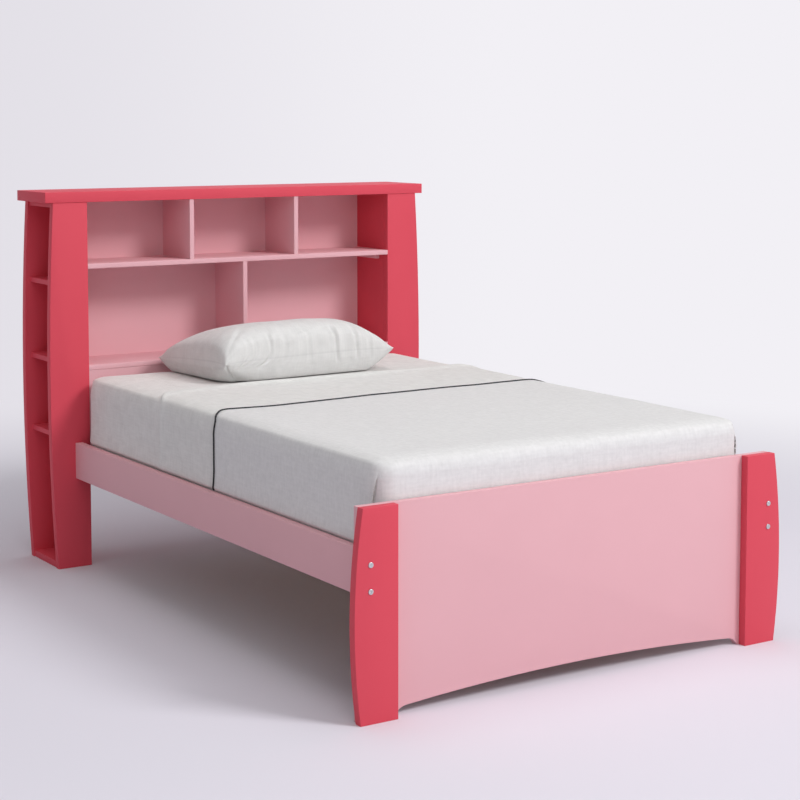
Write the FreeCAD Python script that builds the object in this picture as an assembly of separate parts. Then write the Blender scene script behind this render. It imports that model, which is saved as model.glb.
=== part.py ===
"""Bookcase headboard bed: two open-sided shelf towers joined by a bookcase and a top plank,
two side rails, an arched footboard with bowed posts, a slatted base, a mattress and its bedding.

Millimetres. +X runs across the bed, to the right as seen from the foot, +Y towards the
headboard and +Z up. The origin is on the floor, under the middle of the whole bed's box.
"""
import FreeCAD
import Part
import math
import os

V = FreeCAD.Vector

# ---- mattress: the bed is made round it ---------------------------------------------
MATTRESS_W = 1350.0
MATTRESS_L = 2000.0
MATTRESS_T = 276.0
MATTRESS_CROWN_RISE = 6.0   # crown above the place where the edge starts to round
MATTRESS_EDGE_R = 62.0
MATTRESS_CORNER_R = 58.0
MATTRESS_END_RISE = 1.0     # rounding at the head and foot starts this much above the crown
SIDE_GAP = 5.0          # mattress to a rail, with the bedding in it
HEAD_GAP = 20.0         # mattress to the towers
FOOT_GAP = 8.0          # mattress to the footboard

# ---- boards -------------------------------------------------------------------------
BOARD = 28.0            # rails, posts and the towers' front and back panels
SHELF = 18.0            # shelves, dividers, tower sides and back panel
PLANK = 38.0            # top plank
FOOT_PANEL = 22.0       # footboard panel

# ---- headboard ----------------------------------------------------------------------
TOWER_HEIGHT = 1343.0   # floor to the underside of the top plank
TOWER_DEPTH = 267.0
TOWER_PAST_RAIL = 30.0  # towers' inner faces, inward of the rails' inner faces
TOWER_TOP_W = 132.0     # width of a bowed panel at its top, at half height and at its foot
TOWER_BOW_W = 152.0
TOWER_FOOT_W = 129.0
TOWER_BASE = 24.0       # bottom board
SHELF_SET_BACK = 2.0    # shelf edge behind the narrowest place of the bow
TOWER_BAYS = (267.0, 265.0, 254.0)     # clear heights from the top board down, above the lowest bay
PLANK_END_OVERHANG = 31.0
PLANK_FRONT_OVERHANG = 3.0

# ---- bookcase between the towers ----------------------------------------------------
BACK_LAP = 12.0         # back panel's edge that bears on the towers' back panels
UPPER_BAY_H = 226.0     # clear height under the top plank
SHELF_ABOVE_BED = 38.0  # top of the bottom shelf, above the mattress
MIDDLE_BAY = 434.0      # clear width of the middle one of the three upper bays
LOWER_PANEL_RECESS = 2.0
CLEAT_W = 18.0          # shelf cleats under the ends of the two long shelves
CLEAT_H = 20.0
CLEAT_SET_BACK = 62.0

# ---- rails and base -----------------------------------------------------------------
RAIL_BOTTOM = 331.0
RAIL_HEIGHT = 131.0
LEDGE_W = 25.0          # ledges that carry the slats
LEDGE_H = 30.0
DECK_BELOW_RAIL = 32.0  # top of the slats, below the rails' tops
SLAT_W = 70.0
SLAT_T = 18.0
SLAT_COUNT = 13
SLAT_END_GAP = 2.0
BEAM_W = 28.0           # middle beam under the slats
BEAM_H = 60.0
HANGER = 2.0            # sheet of the beam's hangers
HANGER_L = 40.0
HANGER_CLEAR = 0.5
LEG = 45.0              # square legs under the beam
LEG_PLACES = (0.3, 0.7)  # shares of the beam's length

# ---- footboard ----------------------------------------------------------------------
FOOT_HEIGHT = 601.0
POST_PAST_RAIL = 33.0   # posts' inner edges, inward of the rails' inner faces
POST_TOP_W = 114.5
POST_BOW_W = 141.0
POST_FOOT_W = 122.0
PANEL_SET_BACK = 1.5    # panel's end behind the post's narrowest place
FOOT_PAST_POST = 7.0    # foot of the arch, inward of the post's inner edge
SHOULDER_W = 36.0
SHOULDER_H = 25.0
ARCH_RISE = 50.0
SHOULDER_BULGE = 5.6    # how far a shoulder's arc leaves its chord

# ---- fasteners ----------------------------------------------------------------------
BOLT_R = 3.0
BOLT_CLEAR = 0.4
HEAD_R = 8.0
HEAD_H = 3.0
HEAD_ROUND = 1.0
SOCKET_R = 2.9          # round the socket's corners
SOCKET_DEPTH = 2.0
SOCKET_SIDES = 6
BOLT_UP = 39.0          # lower bolt above the rail's lower edge
BOLT_DOWN = 18.0        # upper bolt below the rail's upper edge
POST_BOLT_IN = 90.0     # post bolt from the post's inner edge
SLEEVE_WALL = 1.4
SLEEVE_SHORT = 6.0      # sleeve nut's end, short of the panel's front
SLEEVE_CLEAR = 0.2
FLANGE_T = 2.0
NUT_R = 5.0             # barrel nuts
NUT_PAST_AXIS = 6.0     # barrel nut's length beyond the bolt's axis
NUT_CLEAR = 0.2
NUT_FROM_END = 40.0     # barrel nut's axis to the rail's end
BOLT_PAST_NUT = 8.0
THREAD_CLEAR = 0.1
SUNK = 1.0              # rail bolts' heads below the footboard panel's face
DOWEL_R = 4.0
DOWEL_L = 30.0
DOWEL_CLEAR = 0.15
DOWEL_BITE = 10.0       # length of a dowel in the face that it enters
TOWER_DOWEL_PLACES = (0.15, 0.45, 0.6, 0.9)     # dowel rows, as shares of the joint's length
SHELF_DOWEL_PLACES = (0.3, 0.8)
PANEL_DOWEL_PLACES = (0.2, 0.8)
BACK_DOWEL_PLACES = (0.1, 0.5, 0.9)
SCREW_R = 2.0
SCREW_HEAD_R = 4.0
SCREW_CLEAR = 0.2
LEDGE_SCREW_EVERY = 2   # a ledge screw in every second gap between the slats
SLAT_SCREW_BITE = 14.0  # screw's length in the second piece
LEDGE_SCREW_BITE = 17.0

# ---- bedding ------------------------------------------------------------------------
SOFT_GAP = 0.3
CLOTH = 1.0
FITTED_HEM_UP = 3.0     # lowest edges of the cloths, above the mattress's underside
SHEET_HEM_UP = 6.0
SHEET_HEAD_EDGE = 560.0     # tower front to the head edges of the top sheet and blanket
BLANKET_HEAD_EDGE = 990.0
PIPING_W = 5.0
PIPING_T = 3.0
PIPING_CLEAR = 2.0      # piping's ends above the rails
PILLOW_HALF_L = 356.0
PILLOW_HALF_D = 232.0
PILLOW_WAIST = 0.09     # how far the long sides draw in, as a share of the half depth
PILLOW_UP = 98.0        # crown above and belly below the seam
PILLOW_DOWN = 68.0
PILLOW_TIP = 3.0
PILLOW_X = 5.0
PILLOW_BACK_GAP = 16.0  # pillow's back corners to the towers' front plane
PILLOW_END_POWER = 2.6  # how late and how steeply the pillow thins towards its short seams
PILLOW_END_ROUND = 0.62
PILLOW_STATIONS = (-1.0, -0.95, -0.84, -0.62, -0.3, 0.0, 0.3, 0.62, 0.84, 0.95, 1.0)

# ---- places along the bed -----------------------------------------------------------
BED_SPACE = MATTRESS_L + HEAD_GAP + FOOT_GAP    # tower front to the footboard panel
LENGTH = HEAD_H + BOARD + FOOT_PANEL + BED_SPACE + TOWER_DEPTH
HEAD_Y = LENGTH / 2                         # back of the headboard
FRONT_Y = HEAD_Y - TOWER_DEPTH              # front of the towers
PANEL_BACK_Y = FRONT_Y - BED_SPACE          # footboard panel, its back and front
PANEL_FRONT_Y = PANEL_BACK_Y - FOOT_PANEL
POST_FRONT_Y = PANEL_FRONT_Y - BOARD
RAIL_INNER_X = MATTRESS_W / 2 + SIDE_GAP
RAIL_X = RAIL_INNER_X + BOARD / 2           # middle of a rail's thickness
RAIL_TOP = RAIL_BOTTOM + RAIL_HEIGHT
BOLT_LEVELS = (RAIL_BOTTOM + BOLT_UP, RAIL_TOP - BOLT_DOWN)
DECK = RAIL_TOP - DECK_BELOW_RAIL           # top of the slats
LEDGE_TOP = DECK - SLAT_T
SLAT_SPACE = (BED_SPACE - SLAT_COUNT * SLAT_W) / (SLAT_COUNT + 1)
BACK_Y = HEAD_Y - BOARD + BACK_LAP - SHELF  # face of the bookcase's back panel
MATTRESS_Y = PANEL_BACK_Y + FOOT_GAP + MATTRESS_L / 2
MATTRESS_BOTTOM = DECK + SOFT_GAP
MATTRESS_CROWN = MATTRESS_BOTTOM + MATTRESS_T
LONG_SHELF_TOP = TOWER_HEIGHT - UPPER_BAY_H
BOTTOM_SHELF_TOP = MATTRESS_CROWN + SHELF_ABOVE_BED
TOWER_INNER_X = RAIL_INNER_X - TOWER_PAST_RAIL
SIDE_X = TOWER_INNER_X + SHELF              # inside face of a tower's side panel
SHELF_EDGE_X = TOWER_INNER_X + min(TOWER_TOP_W, TOWER_FOOT_W) - SHELF_SET_BACK
LOWER_PANEL_Y = FRONT_Y + LOWER_PANEL_RECESS
POST_INNER_X = RAIL_INNER_X - POST_PAST_RAIL
POST_BOLT_X = POST_INNER_X + POST_BOLT_IN
FOOT_HALF_W = POST_INNER_X + min(POST_TOP_W, POST_FOOT_W) - PANEL_SET_BACK
BOLT_BORE_R = BOLT_R + BOLT_CLEAR
NUT_L = BOARD / 2 + NUT_PAST_AXIS
THREAD_R = BOLT_R + THREAD_CLEAR
SLEEVE_R = THREAD_R + SLEEVE_WALL
SLEEVE_L = FOOT_PANEL - SLEEVE_SHORT
COUNTERBORE = HEAD_H + SUNK
SLAT_SCREW_L = SLAT_T + SLAT_SCREW_BITE
LEDGE_SCREW_L = LEDGE_W + LEDGE_SCREW_BITE

shapes = {}
cutters = {}


def box(x, y, z):
    """A box from three (low, high) pairs."""
    size = [high - low for low, high in (x, y, z)]
    return Part.makeBox(*size, V(x[0], y[0], z[0]))


def rod(start, axis, radius, length):
    return Part.makeCylinder(radius, length, start, axis)


def mirror(shape):
    """The same piece on the other side of the bed's middle plane."""
    return shape.mirror(V(0, 0, 0), V(1, 0, 0))


def both_sides(name, shape):
    """Right-hand shape and its mirror image, as two nodes."""
    shapes[name + "_right"] = shape
    shapes[name + "_left"] = mirror(shape)


def drill(name, cutter):
    cutters.setdefault(name, []).append(cutter)


def face_of(edges):
    return Part.Face(Part.Wire(Part.__sortEdges__(edges)))


def line(a, b):
    return Part.LineSegment(a, b).toShape()


def arc(a, b, c):
    return Part.Arc(a, b, c).toShape()


# ---- bowed boards -------------------------------------------------------------------
def bowed_board(inner_x, height, widths, front_y):
    """Board with a straight inner edge and a bowed outer one; widths at top, middle, foot."""
    top, middle, foot = (inner_x + w for w in widths)
    at = [V(inner_x, front_y, 0), V(inner_x, front_y, height), V(top, front_y, height)]
    bulge, heel = V(middle, front_y, height / 2), V(foot, front_y, 0)
    edges = [line(at[0], at[1]), line(at[1], at[2]), arc(at[2], bulge, heel), line(heel, at[0])]
    return face_of(edges).extrude(V(0, BOARD, 0))


# ---- dowels -------------------------------------------------------------------------
dowels = {"tower_dowels": [], "bookcase_dowels": [], "leg_dowels": []}


def dowel(group, seat, axis, *names):
    """Dowel whose joint face is at seat; axis points into the piece that it enters by its face."""
    start = seat - axis * (DOWEL_L - DOWEL_BITE)
    dowels[group].append(rod(start, axis, DOWEL_R, DOWEL_L))
    hole = rod(start - axis * DOWEL_CLEAR, axis, DOWEL_R + DOWEL_CLEAR, DOWEL_L + 2 * DOWEL_CLEAR)
    for name in names:
        drill(name, hole)


def dowel_both_sides(group, seat, axis, first, second):
    """The same dowel in the right and the left tower; names without a side belong to both."""
    for side, sign in (("_right", 1), ("_left", -1)):
        names = [name + side if name in TOWER_PIECES else name for name in (first, second)]
        dowel(group, V(sign * seat.x, seat.y, seat.z), V(sign * axis.x, axis.y, axis.z), *names)


TOWER_PIECES = ["tower_front", "tower_back", "tower_side", "tower_top", "tower_base"]
TOWER_PIECES += ["tower_shelf_%d" % (n + 1) for n in range(len(TOWER_BAYS))]


# ---- headboard ----------------------------------------------------------------------
def towers():
    widths = (TOWER_TOP_W, TOWER_BOW_W, TOWER_FOOT_W)
    inside_y = (FRONT_Y + BOARD, HEAD_Y - BOARD)
    both_sides("tower_front", bowed_board(TOWER_INNER_X, TOWER_HEIGHT, widths, FRONT_Y))
    both_sides("tower_back", bowed_board(TOWER_INNER_X, TOWER_HEIGHT, widths, inside_y[1]))
    both_sides("tower_side", box((TOWER_INNER_X, SIDE_X), inside_y, (0, TOWER_HEIGHT)))
    across = (SIDE_X, SHELF_EDGE_X)
    both_sides("tower_top", box(across, inside_y, (TOWER_HEIGHT - SHELF, TOWER_HEIGHT)))
    both_sides("tower_base", box(across, inside_y, (0, TOWER_BASE)))
    boards = [("tower_top", TOWER_HEIGHT - SHELF / 2), ("tower_base", TOWER_BASE / 2)]
    top = TOWER_HEIGHT
    for n, clear in enumerate(TOWER_BAYS):
        name = "tower_shelf_%d" % (n + 1)
        top -= SHELF + clear
        both_sides(name, box(across, inside_y, (top - SHELF, top)))
        boards.append((name, top - SHELF / 2))
    third = (SHELF_EDGE_X - SIDE_X) / 3
    for name, z in boards:
        for x in (SIDE_X + third, SIDE_X + 2 * third):
            dowel_both_sides("tower_dowels", V(x, inside_y[0], z), V(0, -1, 0), name, "tower_front")
            dowel_both_sides("tower_dowels", V(x, inside_y[1], z), V(0, 1, 0), name, "tower_back")
    middle_x = TOWER_INNER_X + SHELF / 2
    for share in TOWER_DOWEL_PLACES:
        z = TOWER_HEIGHT * share
        for name, y, way in (("tower_front", inside_y[0], -1), ("tower_back", inside_y[1], 1)):
            dowel_both_sides("tower_dowels", V(middle_x, y, z), V(0, way, 0), "tower_side", name)


def top_plank():
    half = TOWER_INNER_X + TOWER_TOP_W + PLANK_END_OVERHANG
    depth = (FRONT_Y - PLANK_FRONT_OVERHANG, HEAD_Y)
    shapes["top_plank"] = box((-half, half), depth, (TOWER_HEIGHT, TOWER_HEIGHT + PLANK))
    up = V(0, 0, 1)
    quarter = TOWER_TOP_W / 4
    for x in (TOWER_INNER_X + quarter, TOWER_INNER_X + 3 * quarter):
        for name, y in (("tower_front", FRONT_Y + BOARD / 2), ("tower_back", HEAD_Y - BOARD / 2)):
            dowel_both_sides("tower_dowels", V(x, y, TOWER_HEIGHT), up, name, "top_plank")


def bookcase():
    width = (-TOWER_INNER_X, TOWER_INNER_X)
    depth = (FRONT_Y, BACK_Y)
    long_bottom = LONG_SHELF_TOP - SHELF
    low_bottom = BOTTOM_SHELF_TOP - SHELF
    panel_y = (LOWER_PANEL_Y, LOWER_PANEL_Y + SHELF)
    shapes["bookcase_back"] = box(width, (BACK_Y, BACK_Y + SHELF), (low_bottom, TOWER_HEIGHT))
    shapes["long_shelf"] = box(width, depth, (long_bottom, LONG_SHELF_TOP))
    shapes["bottom_shelf"] = box(width, depth, (low_bottom, BOTTOM_SHELF_TOP))
    shapes["lower_panel"] = box(width, panel_y, (RAIL_BOTTOM, low_bottom))
    low_x = MIDDLE_BAY / 2
    upper = box((low_x, low_x + SHELF), depth, (LONG_SHELF_TOP, TOWER_HEIGHT))
    both_sides("upper_divider", upper)
    shapes["lower_divider"] = box((-SHELF / 2, SHELF / 2), depth, (BOTTOM_SHELF_TOP, long_bottom))
    cleats = []
    for top in (long_bottom, low_bottom):
        cleat = box((TOWER_INNER_X - CLEAT_W, TOWER_INNER_X), (FRONT_Y + CLEAT_SET_BACK, BACK_Y),
                    (top - CLEAT_H, top))
        cleats += [cleat, mirror(cleat)]
    shapes["shelf_cleats"] = Part.makeCompound(cleats)
    bookcase_dowels(long_bottom, low_bottom, low_x + SHELF / 2)


def bookcase_dowels(long_bottom, low_bottom, divider_x):
    group = "bookcase_dowels"
    rows = [FRONT_Y + (BACK_Y - FRONT_Y) * share for share in SHELF_DOWEL_PLACES]
    for name, top in (("long_shelf", LONG_SHELF_TOP), ("bottom_shelf", BOTTOM_SHELF_TOP)):
        for y in rows:
            seat = V(TOWER_INNER_X, y, top - SHELF / 2)
            dowel_both_sides(group, seat, V(1, 0, 0), name, "tower_side")
    for y in rows:
        for side, sign in (("_right", 1), ("_left", -1)):
            name = "upper_divider" + side
            dowel(group, V(sign * divider_x, y, TOWER_HEIGHT), V(0, 0, 1), name, "top_plank")
            dowel(group, V(sign * divider_x, y, LONG_SHELF_TOP), V(0, 0, -1), name, "long_shelf")
        dowel(group, V(0, y, long_bottom), V(0, 0, 1), "lower_divider", "long_shelf")
        dowel(group, V(0, y, BOTTOM_SHELF_TOP), V(0, 0, -1), "lower_divider", "bottom_shelf")
    height = low_bottom - RAIL_BOTTOM
    panel_middle = LOWER_PANEL_Y + SHELF / 2
    for share in PANEL_DOWEL_PLACES:
        seat = V(TOWER_INNER_X, panel_middle, RAIL_BOTTOM + height * share)
        dowel_both_sides(group, seat, V(1, 0, 0), "lower_panel", "tower_front")
    shared_y = (BACK_Y + SHELF + HEAD_Y - BOARD) / 2
    for share in BACK_DOWEL_PLACES:
        seat = V(TOWER_INNER_X, shared_y, low_bottom + (TOWER_HEIGHT - low_bottom) * share)
        dowel_both_sides(group, seat, V(1, 0, 0), "bookcase_back", "tower_back")


# ---- fasteners ----------------------------------------------------------------------
def bolt(seat, axis, length):
    """Flat-headed bolt with a hexagon socket; its head's underside is at seat."""
    start = seat - axis * HEAD_H
    head = rod(start, axis, HEAD_R, HEAD_H)
    crown = [e for e in head.Edges if (e.CenterOfMass - start).Length < HEAD_ROUND]
    head = head.makeFillet(HEAD_ROUND, crown)
    corners = [2 * math.pi * n / SOCKET_SIDES for n in range(SOCKET_SIDES + 1)]
    ring = [start + V(SOCKET_R * math.cos(a), 0, SOCKET_R * math.sin(a)) for a in corners]
    socket = Part.Face(Part.makePolygon(ring)).extrude(axis * SOCKET_DEPTH)
    return head.fuse(rod(seat, axis, BOLT_R, length)).removeSplitter().cut(socket)


def rail_joints():
    """Bolts through the footboard panel and the tower fronts into barrel nuts in the rails."""
    grip_in_rail = NUT_FROM_END + BOLT_PAST_NUT
    ends = {
        "foot": (PANEL_FRONT_Y + COUNTERBORE, PANEL_BACK_Y, V(0, 1, 0), "footboard_panel"),
        "head": (FRONT_Y + BOARD, FRONT_Y, V(0, -1, 0), "tower_front"),
    }
    nuts = []
    for end, (seat_y, rail_end_y, axis, panel) in ends.items():
        bolts = []
        grip = abs(rail_end_y - seat_y) + grip_in_rail
        for side, sign in (("_right", 1), ("_left", -1)):
            for z in BOLT_LEVELS:
                seat = V(sign * RAIL_X, seat_y, z)
                bolts.append(bolt(seat, axis, grip))
                bore = rod(seat, axis, BOLT_BORE_R, grip + BOLT_BORE_R)
                drill("side_rail" + side, bore)
                drill(panel + side if panel in TOWER_PIECES else panel, bore)
                if end == "foot":
                    pocket = rod(seat - axis * COUNTERBORE, axis, HEAD_R + SLEEVE_CLEAR, COUNTERBORE)
                    drill(panel, pocket)
                nut_y = rail_end_y + axis.y * NUT_FROM_END
                inward = V(sign, 0, 0)
                start = V(sign * RAIL_INNER_X, nut_y, z)
                drill("side_rail" + side, rod(start, inward, NUT_R + NUT_CLEAR, NUT_L + NUT_CLEAR))
                nut = rod(start, inward, NUT_R, NUT_L)
                before = V(sign * RAIL_X, nut_y - 2 * NUT_R, z)
                nuts.append(nut.cut(rod(before, V(0, 1, 0), THREAD_R, 4 * NUT_R)))
        shapes["rail_bolts_" + end] = Part.makeCompound(bolts)
    shapes["barrel_nuts"] = Part.makeCompound(nuts)


def post_bolts():
    """The two bolts that show on each post, and the sleeve nuts behind the footboard panel."""
    bolts, nuts = [], []
    back = V(0, 1, 0)
    for side, sign in (("_right", 1), ("_left", -1)):
        for z in BOLT_LEVELS:
            seat = V(sign * POST_BOLT_X, POST_FRONT_Y, z)
            bolts.append(bolt(seat, back, BOARD + FOOT_PANEL))
            drill("footboard_post" + side, rod(seat, back, BOLT_BORE_R, BOARD))
            panel_front = V(seat.x, PANEL_FRONT_Y, z)
            drill("footboard_panel", rod(panel_front, back, SLEEVE_R + SLEEVE_CLEAR, FOOT_PANEL))
            panel_back = V(seat.x, PANEL_BACK_Y, z)
            sleeve = rod(panel_back - back * SLEEVE_L, back, SLEEVE_R, SLEEVE_L)
            nut = sleeve.fuse(rod(panel_back, back, HEAD_R, FLANGE_T)).removeSplitter()
            nuts.append(nut.cut(rod(panel_front, back, THREAD_R, FOOT_PANEL + HEAD_R)))
    shapes["post_bolts"] = Part.makeCompound(bolts)
    shapes["sleeve_nuts"] = Part.makeCompound(nuts)


def wood_screw(tip_side, axis, length):
    """Countersunk screw whose head is flush at tip_side and whose tip is length further on."""
    cone = Part.makeCone(SCREW_HEAD_R, SCREW_R, SCREW_HEAD_R - SCREW_R, tip_side, axis)
    return cone.fuse(rod(tip_side, axis, SCREW_R, length)).removeSplitter()


def screw_hole(tip_side, axis, length):
    wide = SCREW_HEAD_R + SCREW_CLEAR
    cone = Part.makeCone(wide, SCREW_R + SCREW_CLEAR, SCREW_HEAD_R - SCREW_R, tip_side, axis)
    return cone.fuse(rod(tip_side, axis, SCREW_R + SCREW_CLEAR, length + SCREW_CLEAR))


# ---- rails, base and footboard ------------------------------------------------------
def rails():
    across = (RAIL_INNER_X, RAIL_INNER_X + BOARD)
    along = (PANEL_BACK_Y, FRONT_Y)
    both_sides("side_rail", box(across, along, (RAIL_BOTTOM, RAIL_TOP)))
    ledge_x = (RAIL_INNER_X - LEDGE_W, RAIL_INNER_X)
    both_sides("slat_ledge", box(ledge_x, along, (LEDGE_TOP - LEDGE_H, LEDGE_TOP)))
    screws = []
    for n in range(0, SLAT_COUNT - 1, LEDGE_SCREW_EVERY):
        y = slat_low_y(n) + SLAT_W + SLAT_SPACE / 2
        for side, sign in (("_right", 1), ("_left", -1)):
            head = V(sign * (RAIL_INNER_X - LEDGE_W), y, LEDGE_TOP - LEDGE_H / 2)
            axis = V(sign, 0, 0)
            screws.append(wood_screw(head, axis, LEDGE_SCREW_L))
            for name in ("slat_ledge", "side_rail"):
                drill(name + side, screw_hole(head, axis, LEDGE_SCREW_L))
    shapes["ledge_screws"] = Part.makeCompound(screws)


def slat_low_y(n):
    return PANEL_BACK_Y + SLAT_SPACE + n * (SLAT_W + SLAT_SPACE)


def slatted_base():
    half = RAIL_INNER_X - SLAT_END_GAP
    slats, screws = [], []
    for n in range(SLAT_COUNT):
        low_y = slat_low_y(n)
        slats.append(box((-half, half), (low_y, low_y + SLAT_W), (LEDGE_TOP, DECK)))
        for sign in (1, -1):
            head = V(sign * (RAIL_INNER_X - LEDGE_W / 2), low_y + SLAT_W / 2, DECK)
            screws.append(wood_screw(head, V(0, 0, -1), SLAT_SCREW_L))
            hole = screw_hole(head, V(0, 0, -1), SLAT_SCREW_L)
            slats[-1] = slats[-1].cut(hole)
            drill("slat_ledge_right" if sign > 0 else "slat_ledge_left", hole)
    shapes["slats"] = Part.makeCompound(slats)
    shapes["slat_screws"] = Part.makeCompound(screws)
    middle_beam()


def middle_beam():
    ends = (PANEL_BACK_Y + HANGER + HANGER_CLEAR, LOWER_PANEL_Y - HANGER - HANGER_CLEAR)
    bottom = LEDGE_TOP - BEAM_H
    half = BEAM_W / 2
    shapes["middle_beam"] = box((-half, half), ends, (bottom, LEDGE_TOP))
    inner = half + HANGER_CLEAR
    outer = inner + HANGER
    sill = bottom - HANGER_CLEAR
    hangers = []
    for wall_y, way in ((PANEL_BACK_Y, 1), (LOWER_PANEL_Y, -1)):
        along = sorted((wall_y, wall_y + way * HANGER_L))
        pocket = sorted((wall_y + way * HANGER, wall_y + way * HANGER_L))
        shell = box((-outer, outer), along, (sill - HANGER, LEDGE_TOP - HANGER))
        hangers.append(shell.cut(box((-inner, inner), pocket, (sill, LEDGE_TOP))))
    shapes["beam_hangers"] = Part.makeCompound(hangers)
    legs = []
    for share in LEG_PLACES:
        y = ends[0] + (ends[1] - ends[0]) * share
        legs.append(box((-LEG / 2, LEG / 2), (y - LEG / 2, y + LEG / 2), (0, bottom)))
        dowel("leg_dowels", V(0, y, bottom), V(0, 0, 1), "beam_legs", "middle_beam")
    shapes["beam_legs"] = Part.makeCompound(legs)


def footboard():
    """Panel with an arched foot between two rounded shoulders, and the bowed posts on it."""
    y = PANEL_FRONT_Y
    heel_x = POST_INNER_X - FOOT_PAST_POST
    heel, shoulder = V(heel_x, y, 0), V(heel_x - SHOULDER_W, y, SHOULDER_H)
    outward = V(SHOULDER_H, 0, SHOULDER_W) * (SHOULDER_BULGE / math.hypot(SHOULDER_W, SHOULDER_H))
    bulge = (shoulder + heel) * 0.5 + outward
    left = [V(-p.x, y, p.z) for p in (shoulder, bulge, heel)]
    ends = ((FOOT_HALF_W, 0), (FOOT_HALF_W, FOOT_HEIGHT), (-FOOT_HALF_W, FOOT_HEIGHT), (-FOOT_HALF_W, 0))
    corner = [V(x, y, z) for x, z in ends]
    edges = [arc(left[0], V(0, y, ARCH_RISE), shoulder), arc(shoulder, bulge, heel)]
    edges += [line(heel, corner[0]), line(corner[0], corner[1]), line(corner[1], corner[2])]
    edges += [line(corner[2], corner[3]), line(corner[3], left[2]), arc(left[2], left[1], left[0])]
    shapes["footboard_panel"] = face_of(edges).extrude(V(0, FOOT_PANEL, 0))
    widths = (POST_TOP_W, POST_BOW_W, POST_FOOT_W)
    both_sides("footboard_post", bowed_board(POST_INNER_X, FOOT_HEIGHT, widths, POST_FRONT_Y))


# ---- bedding ------------------------------------------------------------------------
def padded_profile(half, shoulder, crown, radius, point):
    """Closed profile with upright sides, rounded shoulders and a low crown or a flat top."""
    slant = radius * (1 - math.sqrt(0.5))
    foot_r, foot_l = point(half, MATTRESS_BOTTOM), point(-half, MATTRESS_BOTTOM)
    wall_r, wall_l = point(half, shoulder - radius), point(-half, shoulder - radius)
    top_r, top_l = point(half - radius, shoulder), point(radius - half, shoulder)
    mid_r, mid_l = point(half - slant, shoulder - slant), point(slant - half, shoulder - slant)
    edges = [line(foot_l, foot_r), line(foot_r, wall_r), arc(wall_r, mid_r, top_r)]
    edges += [arc(top_l, mid_l, wall_l), line(wall_l, foot_l)]
    edges.append(arc(top_r, point(0, crown), top_l) if crown > shoulder else line(top_r, top_l))
    return face_of(edges)


def mattress_form(grow):
    """The mattress, or the same form grown all over by the thickness of what lies on it."""
    half_w, half_l = MATTRESS_W / 2 + grow, MATTRESS_L / 2 + grow
    crown = MATTRESS_CROWN + grow
    shoulder, end_top = crown - MATTRESS_CROWN_RISE, crown + MATTRESS_END_RISE
    radius = MATTRESS_EDGE_R + grow
    out_x, out_y = half_w + radius, MATTRESS_Y - half_l - radius
    across = padded_profile(half_w, shoulder, crown, radius, lambda u, z: V(u, out_y, z))
    along = padded_profile(half_l, end_top, end_top, radius, lambda u, z: V(-out_x, MATTRESS_Y + u, z))
    across = across.extrude(V(0, 2 * (half_l + radius), 0))
    along = along.extrude(V(2 * out_x, 0, 0))
    plan = box((-half_w, half_w), (MATTRESS_Y - half_l, MATTRESS_Y + half_l),
               (MATTRESS_BOTTOM, end_top + radius))
    corners = [e for e in plan.Edges if abs(e.tangentAt(e.FirstParameter).z) > 0.5]
    plan = plan.makeFillet(MATTRESS_CORNER_R + grow, corners)
    return across.common(along).common(plan)


def cloth(layer, hem_up, head_y):
    """Cloth number layer on the mattress, from the foot up to head_y and down to its hem."""
    under = layer * (CLOTH + SOFT_GAP) + SOFT_GAP
    reach = MATTRESS_W
    space = box((-reach, reach), (PANEL_BACK_Y, head_y), (MATTRESS_BOTTOM + hem_up, MATTRESS_CROWN + reach))
    return mattress_form(under + CLOTH).cut(mattress_form(under)).common(space)


def bedding():
    shapes["mattress"] = mattress_form(0)
    shapes["fitted_sheet"] = cloth(0, FITTED_HEM_UP, FRONT_Y)
    shapes["top_sheet"] = cloth(1, SHEET_HEM_UP, FRONT_Y - SHEET_HEAD_EDGE)
    blanket_edge = FRONT_Y - BLANKET_HEAD_EDGE
    shapes["blanket"] = cloth(2, SHEET_HEM_UP, blanket_edge)
    under = 2 * (CLOTH + SOFT_GAP) + SOFT_GAP
    reach = MATTRESS_W
    strip = box((-reach, reach), (blanket_edge + SOFT_GAP, blanket_edge + SOFT_GAP + PIPING_W),
                (RAIL_TOP + PIPING_CLEAR, MATTRESS_CROWN + reach))
    shapes["blanket_piping"] = mattress_form(under + PIPING_T).cut(mattress_form(under)).common(strip)


def pillow():
    """Lens-shaped sections along X: thin at the two short seams, full in the middle."""
    seam_z = MATTRESS_CROWN + CLOTH + 2 * SOFT_GAP + PILLOW_DOWN + PILLOW_TIP
    middle_y = FRONT_Y - PILLOW_BACK_GAP - PILLOW_HALF_D
    sections = []
    for share in PILLOW_STATIONS:
        x = PILLOW_X + share * PILLOW_HALF_L
        full = (1 - abs(share) ** PILLOW_END_POWER) ** PILLOW_END_ROUND
        depth = PILLOW_HALF_D * (1 - PILLOW_WAIST * (1 - share * share))
        front, back = V(x, middle_y - depth, seam_z), V(x, middle_y + depth, seam_z)
        top = V(x, middle_y, seam_z + PILLOW_TIP + PILLOW_UP * full)
        bottom = V(x, middle_y, seam_z - PILLOW_TIP - PILLOW_DOWN * full)
        sections.append(Part.Wire([arc(front, top, back), arc(back, bottom, front)]))
    shapes["pillow"] = Part.makeLoft(sections, True, False)


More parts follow.
